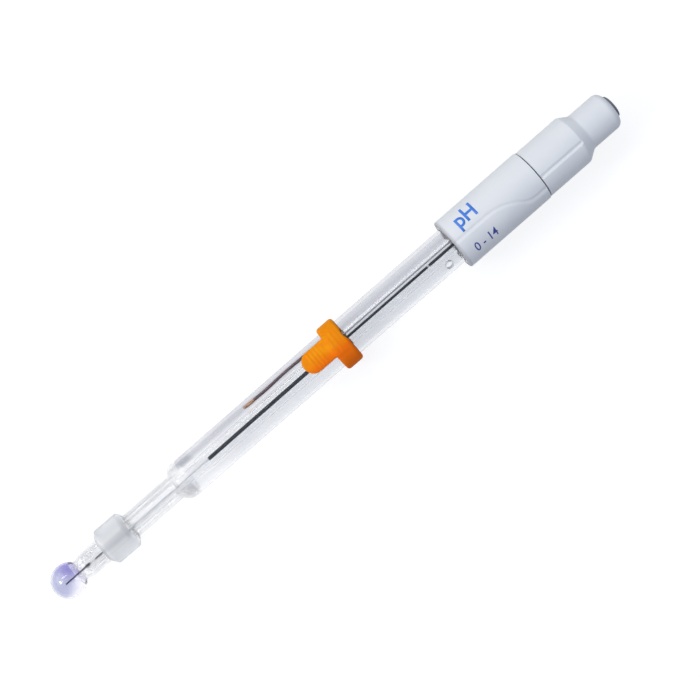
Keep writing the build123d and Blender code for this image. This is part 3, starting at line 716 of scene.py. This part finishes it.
def slab(first, last, width, thickness, rounding):
    """A flat slab along the stations, with the corners of its near end rounded."""
    bpy.ops.object.select_all(action="DESELECT")
    bpy.ops.mesh.primitive_cube_add(size=1)
    piece = bpy.context.object
    piece.scale = (last - first, width, thickness)
    piece.location = ((first + last) / 2, 0, thickness / 2)
    bpy.ops.object.transform_apply(location=True, rotation=True, scale=True)
    for edge in piece.data.edges:
        ends = [piece.data.vertices[v].co for v in edge.vertices]
        edge.select = all(end.x < (first + last) / 2 for end in ends) and ends[0].y * ends[1].y > 0
    for part in (piece.data.vertices, piece.data.polygons):
        part.foreach_set("select", [False] * len(part))
    bpy.ops.object.mode_set(mode="EDIT")
    bpy.ops.mesh.select_mode(type="EDGE")
    bpy.ops.mesh.bevel(offset=rounding, segments=16, affect="EDGES")
    bpy.ops.mesh.select_mode(type="VERT")
    bpy.ops.object.mode_set(mode="OBJECT")
    return sliced(piece, width, 24)


def rib(station, height, width):
    """A low round rib across the tab."""
    bpy.ops.object.select_all(action="DESELECT")
    bpy.ops.mesh.primitive_cylinder_add(vertices=20, radius=RIB_R, depth=width, rotation=(pi / 2, 0, 0))
    piece = bpy.context.object
    piece.location = (station, 0, height - RIB_SUNK)
    bpy.ops.object.transform_apply(location=True, rotation=True, scale=True)
    return sliced(piece, width, 16)


tongue_top = BAND_THICKNESS + TONGUE_HEIGHT
tab_pieces = [
    disc(tab_tip + TAB_WIDTH / 2, TAB_WIDTH, TAB_THICKNESS),
    slab(tab_tip + TAB_WIDTH / 2, band_end - TONGUE_EDGE, TAB_WIDTH, TAB_THICKNESS, TAB_THICKNESS / 4),
    slab(band_start - TONGUE_EDGE / 2, band_end - 1.5 * TONGUE_EDGE, TAB_WIDTH, tongue_top, TONGUE_EDGE),
    *(rib(tab_tip + at, TAB_THICKNESS, TAB_WIDTH * RIB_SHARE) for at in TAB_RIBS),
    *(rib(band_start + at, tongue_top, TAB_WIDTH * TONGUE_RIB_SHARE) for at in TONGUE_RIBS),
]
for piece in tab_pieces:
    for vertex in piece.data.vertices:
        turn = vertex.co.y / band_bore_r + radians(TAB_TURN)
        reach = band_bore_r + vertex.co.z
        vertex.co = (vertex.co.x, reach * sin(turn), reach * cos(turn))
bpy.ops.object.select_all(action="DESELECT")
for piece in (*tab_pieces, fill_ring):
    piece.select_set(True)
bpy.context.view_layer.objects.active = fill_ring
bpy.ops.object.join()
moulding = fill_ring.modifiers.new("one_moulding", "REMESH")
moulding.mode = "VOXEL"
moulding.voxel_size = GRAIN
bpy.ops.object.modifier_apply(modifier=moulding.name)
softening = fill_ring.modifiers.new("soft_corners", "SMOOTH")
softening.factor = 0.5
softening.iterations = SOFTENING
bpy.ops.object.modifier_apply(modifier=softening.name)
fill_ring.name = fill_ring.data.name = "silicone_fill_ring"
silicone, shader, place = material(
    "orange_silicone", Roughness=0.6, Subsurface_Weight=0.15, Subsurface_Scale=1.5 * MM, Specular_IOR_Level=0.1
)
mottle = place.noise((260, 260, 260)).ramp(0.35, 0.65).blend(DEEP_ORANGE, ORANGE)
# Redder on the ring's -Y side, its lower flank: painted shade.
place.along("Y").ramp(*LOW_SIDE_SHADE_FADE).blend(SHADED_RED_ORANGE, mottle).into(shader, "Base Color")
place.noise((1400, 1400, 1400)).bump(0.3, 0.05 * MM).into(shader, "Normal")
lay_down(fill_ring, silicone, "closure_ring", "orange_silicone", "fill_ring")
bpy.ops.object.shade_smooth()

# Lower cap: a white moulded shell, glued on the top of the jacket, with painted shade round its rim and painted light
# in its bore. A low step sweeps across it and sets its inset face, on the +Y side, off from the rest.
CAP_SEAT_R = 6.05 * MM
CAP_RIM = 0.6 * MM
CAP_EDGE = 0.15 * MM
CAP_BORE_R = 5.1 * MM
MOUTH_R = 6.525 * MM
SPIGOT_LENGTH = 5.5 * MM
SEAM_GAP = 0.4 * MM
WALL_PITCH = 0.16 * MM
PANEL_DEPTH = 0.11 * MM
PANEL_FLOOR = -3.0 * MM
STEP_RISE = 1.1 * MM
STEP_FOOT = 0.8 * MM
FOOT_DEPTH = 0.16 * MM
SWEEP_HEIGHT = -0.57 * MM
SWEEP_DROP = 5.3 * MM
SWEEP_STRAIGHT = 11.5 * MM
SWEEP_NEAR_R = 17.5 * MM
SWEEP_FAR_R = 6.4 * MM
WHITE = (0.82, 0.84, 0.85)
COOL_WHITE = (0.79, 0.815, 0.835)
RIM_SHADE_WHITE = (0.50, 0.51, 0.54)
BORE_LIGHT_WHITE = (0.93, 0.94, 0.95)
PAINTED_FADE_LENGTH = 1.1 * MM
RIM_FADE = (6.15 * MM, 6.65 * MM)
CAP_STEPS = 320


def wall(first, last, radius):
    """Corners along a straight wall, close enough together to shape a step in it."""
    count = ceil((last - first) / WALL_PITCH)
    return [(first + (last - first) * i / count, radius, 0) for i in range(1, count)]


def smooth_step(share):
    """0 below 0, 1 above 1 and smooth between."""
    share = min(1, max(0, share))
    return share * share * (3 - 2 * share)


def inset(piece, radius, depth, foot_depth, rise_width, edge):
    """Lowers the outside of a cap on the side above an edge in plan, with a fine groove at the step's foot."""
    for vertex in piece.data.vertices:
        station, side, up = vertex.co
        reach = hypot(side, up)
        beyond = side - edge(station)
        if reach < radius - depth or beyond < -rise_width / 2:
            continue
        floor = smooth_step((up - PANEL_FLOOR) / rise_width + 0.5)
        rise = smooth_step(beyond / rise_width + 0.5)
        foot = smooth_step(1.5 - beyond / STEP_FOOT)
        lowered = min(reach, radius - (depth + foot_depth * foot) * rise * floor)
        vertex.co = (station, side * lowered / reach, up * lowered / reach)


cap_start, cap_end, _, cap_r = span("lower_cap")
mouth_floor = cap_end + SEAM_GAP - SPIGOT_LENGTH
cap_outline = rounded(
    [
        (cap_start, CAP_SEAT_R, 0),
        (cap_start, cap_r, CAP_RIM),
        *wall(cap_start + CAP_RIM, cap_end - CAP_EDGE, cap_r),
        (cap_end, cap_r, CAP_EDGE),
        (cap_end, MOUTH_R, 0),
        (mouth_floor, MOUTH_R, 0),
        (mouth_floor, CAP_BORE_R, 0),
        (jacket_end, CAP_BORE_R, 0),
        (jacket_end, CAP_SEAT_R, 0),
    ]
)
sweep_turn = acos(1 - SWEEP_DROP / (SWEEP_NEAR_R + SWEEP_FAR_R))
sweep_start = cap_start + SWEEP_STRAIGHT
sweep_turns_at = sweep_start + SWEEP_NEAR_R * sin(sweep_turn)
sweep_end = sweep_turns_at + SWEEP_FAR_R * sin(sweep_turn)


def sweep(station):
    """Height in plan of the swept edge: straight from the rim, then two arcs down to a lower straight."""
    if station < sweep_start:
        return SWEEP_HEIGHT
    if station < sweep_turns_at:
        return SWEEP_HEIGHT - SWEEP_NEAR_R + sqrt(SWEEP_NEAR_R**2 - (station - sweep_start) ** 2)
    if station < sweep_end:
        return SWEEP_HEIGHT - SWEEP_DROP + SWEEP_FAR_R - sqrt(SWEEP_FAR_R**2 - (sweep_end - station) ** 2)
    return SWEEP_HEIGHT - SWEEP_DROP


lower_cap = turned("lower_cap_shell", [*cap_outline, cap_outline[0]], CAP_STEPS)
inset(lower_cap, cap_r, PANEL_DEPTH, FOOT_DEPTH, STEP_RISE, sweep)
white, shader, place = material("white_moulding", Roughness=0.5, Specular_IOR_Level=0.25)
plastic = place.noise((120, 160, 160)).ramp(0.3, 0.7).blend(COOL_WHITE, WHITE)
station, side, up = (place.along(letter) for letter in "XYZ")
outside = (side * side + up * up).ramp(RIM_FADE[0] ** 2, RIM_FADE[1] ** 2)
# Darker round the outside of the rim: painted shade where the tube meets the cap.
painted_rim_shade = outside * (1 - station.ramp(cap_start, cap_start + PAINTED_FADE_LENGTH))
# Lighter in the bore, up to just past the jacket's end: painted light in the shaded bore.
painted_bore_light = (1 - outside) * (1 - station.ramp(jacket_end, jacket_end + PAINTED_FADE_LENGTH))
painted_bore_light.blend(painted_rim_shade.blend(plastic, RIM_SHADE_WHITE), BORE_LIGHT_WHITE).into(shader, "Base Color")
place.noise((2600, 2600, 2600)).bump(0.15, 0.02 * MM).into(shader, "Normal")
lay_down(lower_cap, white, "electrode", "cap_plastic", "lower_cap")

# Seam gasket: a ring of dark rubber, moulded with a round edge and squeezed between the two caps, a little back in
# their seam. It is greyer on its +Y side and darker on its -Y side: painted light and shade.
DARK_RUBBER = (0.085, 0.087, 0.10)
GREY_DARK_RUBBER = (0.12, 0.122, 0.14)
LIT_SIDE_RUBBER = (0.27, 0.28, 0.31)
LIT_SIDE_FADE = (-5.0 * MM, 2.0 * MM)
GASKET_SWELL = 0.1 * MM

dark, shader, place = material("dark_rubber", Roughness=0.6)
# Greyer towards +Y and darker towards -Y: painted light and shade. The mouth seal shares this rubber.
painted_lit_side = place.along("Y").ramp(*LIT_SIDE_FADE).blend(DARK_RUBBER, LIT_SIDE_RUBBER)
place.noise((700, 700, 700)).blend(painted_lit_side, GREY_DARK_RUBBER).into(shader, "Base Color")
place.noise((3500, 3500, 3500)).bump(0.3, 0.03 * MM).into(shader, "Normal")
gasket_start, gasket_end, gasket_bore_r, gasket_r = span("cap_seal")
gasket_outline = rounded(
    [
        (gasket_start, gasket_bore_r, 0),
        (gasket_start, gasket_r, 0),
        ((gasket_start + gasket_end) / 2, gasket_r + GASKET_SWELL, 2 * GASKET_SWELL),
        (gasket_end, gasket_r, 0),
        (gasket_end, gasket_bore_r, 0),
    ]
)
gasket = turned("seam_gasket", [*gasket_outline, gasket_outline[0]])
lay_down(gasket, dark, "electrode", "dark_rubber", "cap_seal")

# Upper cap: the second white moulding, pressed into the lower one by its spigot. A cone takes it down to the neck
# that holds the socket, and a low straight step runs along its barrel.
SPIGOT_R = 6.475 * MM
CONE_START = 198.709 * MM
CONE_EDGE = 1.6 * MM
CONE_LENGTH = 3.2 * MM
CONE_FOOT = 1.8 * MM
NECK_R = 6.0 * MM
NECK_RIM = 2.0 * MM
SEAL_SEAT_DEPTH = 1.5 * MM
SOCKET_R = 2.9 * MM
SOCKET_SEAT = 195.209 * MM
UPPER_PANEL_DEPTH = 0.2 * MM
UPPER_PANEL_HEIGHT = -2.7 * MM
UPPER_FOOT_DEPTH = 0.3 * MM
UPPER_RISE = 0.75 * MM

spigot_start, neck_end, _, barrel_r = span("upper_cap")
mouth_start, electrode_end, mouth_bore_r, mouth_r = span("socket_seal")
barrel_start = spigot_start + SPIGOT_LENGTH
seal_seat = neck_end - SEAL_SEAT_DEPTH
upper_outline = rounded(
    [
        (spigot_start, CAP_BORE_R, 0),
        (spigot_start, SPIGOT_R, 0),
        (barrel_start, SPIGOT_R, 0),
        (barrel_start, barrel_r, CAP_EDGE),
        *wall(barrel_start + CAP_EDGE, CONE_START - CONE_EDGE, barrel_r),
        (CONE_START, barrel_r, CONE_EDGE),
        (CONE_START + CONE_LENGTH, NECK_R, CONE_FOOT),
        (neck_end, NECK_R, NECK_RIM),
        (neck_end, mouth_r, 0),
        (seal_seat, mouth_r, 0),
        (seal_seat, SOCKET_R, 0),
        (SOCKET_SEAT, SOCKET_R, 0),
        (SOCKET_SEAT, CAP_BORE_R, 0),
    ]
)
upper_cap = turned("upper_cap_shell", [*upper_outline, upper_outline[0]], CAP_STEPS)
inset(upper_cap, barrel_r, UPPER_PANEL_DEPTH, UPPER_FOOT_DEPTH, UPPER_RISE, lambda station: UPPER_PANEL_HEIGHT)
lay_down(upper_cap, white, "electrode", "cap_plastic", "upper_cap")

# Socket in the neck: a nickel plated contact tube on a flange, a pale insulator in it and a gilt centre contact,
# pressed together and held in the neck.
NICKEL = (0.62, 0.61, 0.58)
DULL_NICKEL = (0.45, 0.44, 0.42)
GILT = (0.80, 0.56, 0.22)
DULL_GILT = (0.62, 0.41, 0.15)
IVORY = (0.72, 0.70, 0.64)
PALE_IVORY = (0.80, 0.785, 0.73)


def dress(node, name, first, second, metallic, roughness):
    """A turned socket piece keeps its CAD form and gets a finish with fine turning marks."""
    made, shader, place = material(name, Metallic=metallic, Roughness=roughness)
    place.noise((900, 300, 300)).ramp(0.35, 0.65).blend(first, second).into(shader, "Base Color")
    place.noise((9000, 200, 200)).bump(0.2, 0.01 * MM).into(shader, "Normal")
    frame["nodes"][node].data.materials.clear()
    frame["nodes"][node].data.materials.append(made)


dress("socket_shell", "nickel_plate", NICKEL, DULL_NICKEL, 1.0, 0.25)
dress("socket_insulator", "ivory_plastic", IVORY, PALE_IVORY, 0.0, 0.45)
dress("centre_contact", "gilt_contact", GILT, DULL_GILT, 1.0, 0.3)

# Mouth seal: a ring of the same dark rubber, pressed into a seat in the neck's mouth. It stands proud of the neck and
# seals against the plug.
SEAL_ROUND = 0.4 * MM

mouth_outline = rounded(
    [
        (mouth_start, mouth_bore_r, 0),
        (mouth_start, mouth_r, 0),
        (electrode_end, mouth_r, SEAL_ROUND),
        (electrode_end, mouth_bore_r, SEAL_ROUND / 2),
    ]
)
mouth_seal = turned("mouth_seal", [*mouth_outline, mouth_outline[0]])
lay_down(mouth_seal, dark, "electrode", "dark_rubber", "socket_seal")

# Print on the lower cap: thin ink, pad printed on the white plastic. It says what the electrode measures and over
# what range.
BLUE = (0.045, 0.20, 0.72)
PALE_BLUE = (0.06, 0.24, 0.76)
DARK_BLUE = (0.02, 0.05, 0.32)
SLATE_BLUE = (0.03, 0.065, 0.36)
INK = 0.015 * MM
INK_CUT = 0.4 * MM
CAPITAL_SHARE = 0.7
PRINT_INSET = 4.0 * MM
KIND_SIDE = 2.1 * MM
KIND_HEIGHT = 4.2 * MM
KIND_BOLD = 0.12 * MM
RANGE_SIDE = -6.2 * MM
RANGE_HEIGHT = 2.4 * MM
RANGE_BOLD = 0.03 * MM


def printed(piece, name, first, second):
    """Wraps a flat mesh on the cap as a film of ink."""
    bpy.ops.object.select_all(action="DESELECT")
    piece.select_set(True)
    bpy.context.view_layer.objects.active = piece
    bpy.ops.object.transform_apply(location=True, rotation=True, scale=True)
    sides = [vertex.co.y for vertex in piece.data.vertices]
    bpy.ops.object.mode_set(mode="EDIT")
    for i in range(1, ceil((max(sides) - min(sides)) / INK_CUT)):
        bpy.ops.mesh.select_all(action="SELECT")
        bpy.ops.mesh.bisect(plane_co=(0, min(sides) + i * INK_CUT, 0), plane_no=(0, 1, 0))
    bpy.ops.object.mode_set(mode="OBJECT")
    ink, shader, place = material(name + "_ink", Roughness=0.4)
    place.noise((900, 900, 900)).blend(first, second).into(shader, "Base Color")
    piece.name = piece.data.name = name
    lay_down(piece, ink, "electrode", "cap_plastic")
    wrap = piece.modifiers.new("wrap", "SHRINKWRAP")
    wrap.target = lower_cap
    wrap.wrap_method = "PROJECT"
    wrap.use_project_z = True
    wrap.use_positive_direction = False
    wrap.use_negative_direction = True
    wrap.offset = INK / 2
    bpy.ops.object.modifier_apply(modifier=wrap.name)
    film = piece.modifiers.new("film", "SOLIDIFY")
    film.thickness = INK
    film.offset = 1
    bpy.ops.object.modifier_apply(modifier=film.name)


def lettering(words, name, station, side, height, bold, first, second):
    """Words along the cap, with their lower left corner at a station and a side."""
    bpy.ops.object.select_all(action="DESELECT")
    bpy.ops.object.text_add(location=(station, side, 2 * cap_r))
    piece = bpy.context.object
    piece.data.body = words
    piece.data.size = height / CAPITAL_SHARE
    piece.data.offset = bold
    piece.data.resolution_u = 6
    bpy.ops.object.convert(target="MESH")
    printed(piece, name, first, second)


print_start = cap_start + PRINT_INSET
lettering("pH", "print_kind", print_start, KIND_SIDE, KIND_HEIGHT, KIND_BOLD, BLUE, PALE_BLUE)
lettering("0 - 14", "print_range", print_start, RANGE_SIDE, RANGE_HEIGHT, RANGE_BOLD, DARK_BLUE, SLATE_BLUE)

# Camera: it looks straight down on the bench from above the electrode's middle, turned so that the electrode lies
# across the picture from corner to corner.
CAMERA_AT = (0.00387, -0.0032, 0.4125)
CAMERA_TURN = radians(-41.16)
LENS = 72.07
SENSOR = 36
NEAREST = 0.01
bpy.ops.object.camera_add(location=CAMERA_AT, rotation=(0, 0, CAMERA_TURN))
camera = bpy.context.object
camera.data.sensor_width = SENSOR
camera.data.lens = LENS
camera.data.clip_start = NEAREST
bpy.context.scene.camera = camera

# Bench: a plain pale floor just under the electrode. It keeps the electrode's shadow, and it is white to the camera,
# in reflections and through the glass.
BENCH = (0.26, 0.265, 0.275)
BENCH_GLOW = 0.82
BENCH_SIZE = 6
BENCH_DROP = 0.02 * MM
bpy.ops.object.select_all(action="DESELECT")
bpy.ops.mesh.primitive_plane_add(size=BENCH_SIZE, location=(0, 0, -BENCH_DROP))
bench = bpy.context.object
bench.name = "bench"
pale, shader, place = material("pale_bench", Roughness=0.9, Specular_IOR_Level=0.0, Base_Color=BENCH)
rays = place.node("LightPath", {}, {}, "Is Camera Ray")
seen = rays.math("MAXIMUM", rays, rays.node("LightPath", {}, {}, "Is Glossy Ray"))
seen = rays.math("MAXIMUM", seen, rays.node("LightPath", {}, {}, "Is Transmission Ray"))
seen.blend((0, 0, 0), (1, 1, 1)).into(shader, "Emission Color")
shader.inputs["Emission Strength"].default_value = BENCH_GLOW
bench.data.materials.append(pale)

# Light: a long soft lamp over the electrode's +Y side for the lines along the glass, a small one and a broad one from
# the bulb's end, and a pale room all round that is white to the camera.
LAMP_AWAY = 0.8
LAMP = (1.0, 0.97, 0.92)
STRIP_AT = -0.07
STRIP_LEAN = radians(36)
STRIP_LENGTH = 0.48
STRIP_WIDTH = 0.13
STRIP_POWER = 0.95
KEY_TOWARDS = Vector((-0.64, 0.33, 0.69)).normalized()
KEY_SIZE = 0.22
KEY_POWER = 1.5
FILL_TOWARDS = Vector((-0.5, 0.68, 0.54)).normalized()
FILL_SIZE = 0.8
FILL_POWER = 1.95
ROOM = (0.48, 0.515, 0.60)
bpy.ops.object.light_add(
    type="AREA",
    location=(STRIP_AT, LAMP_AWAY * sin(STRIP_LEAN), LAMP_AWAY * cos(STRIP_LEAN)),
    rotation=(-STRIP_LEAN, 0, 0),
)
strip = bpy.context.object
strip.data.shape = "RECTANGLE"
strip.data.size = STRIP_LENGTH
strip.data.size_y = STRIP_WIDTH
strip.data.energy = STRIP_POWER
strip.data.color = LAMP
for towards, size, power in ((KEY_TOWARDS, KEY_SIZE, KEY_POWER), (FILL_TOWARDS, FILL_SIZE, FILL_POWER)):
    bpy.ops.object.light_add(type="AREA", location=towards * LAMP_AWAY)
    lamp = bpy.context.object
    lamp.rotation_euler = towards.to_track_quat("Z", "Y").to_euler()
    lamp.data.size = size
    lamp.data.energy = power
    lamp.data.color = LAMP

world = bpy.data.worlds.new("room")
world.use_nodes = True
bpy.context.scene.world = world
to_camera = Shade(world.node_tree).node("LightPath", {}, {}, "Is Camera Ray")
to_camera.blend(ROOM, (1.0, 1.0, 1.0)).into(world.node_tree.nodes["Background"], "Color")
bpy.context.scene.view_settings.view_transform = "Standard"
